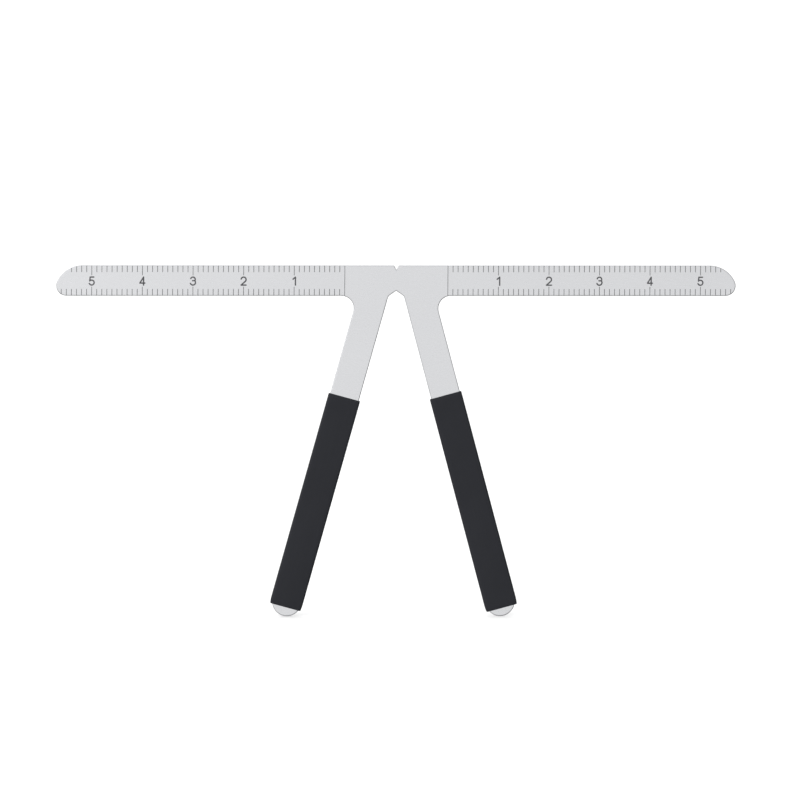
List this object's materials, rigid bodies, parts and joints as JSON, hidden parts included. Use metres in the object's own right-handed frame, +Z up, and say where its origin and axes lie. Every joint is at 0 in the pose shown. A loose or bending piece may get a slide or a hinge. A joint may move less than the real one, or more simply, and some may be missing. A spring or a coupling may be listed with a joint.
{
  "type": "brow mapping ruler",
  "caption": "Flat steel ruler marked outwards from its middle, with splayed legs in dark sleeves as handles, for measuring and setting out brows evenly.",
  "frame": {"origin": "on the ruler's centreline, in the middle of the plate's thickness, level with the tips of the legs", "axes": "+X along the ruler to the reader's right, +Y through the plate away from the marked face, +Z up from the legs to the ruler"},
  "size_m": [0.1344, 0.001, 0.0694],
  "materials": {
    "steel": "satin, fine brushed",
    "sleeve": "matte",
    "mark": "matte, dark grey"
  },
  "bodies": {
    "root": {"ruler_plate": "steel", "left_handle_sleeve": "sleeve", "right_handle_sleeve": "sleeve", "left_graduations": "mark", "right_graduations": "mark", "left_zero_line": "mark", "right_zero_line": "mark", "left_numerals": "mark", "right_numerals": "mark"}
  },
  "joints": []
}
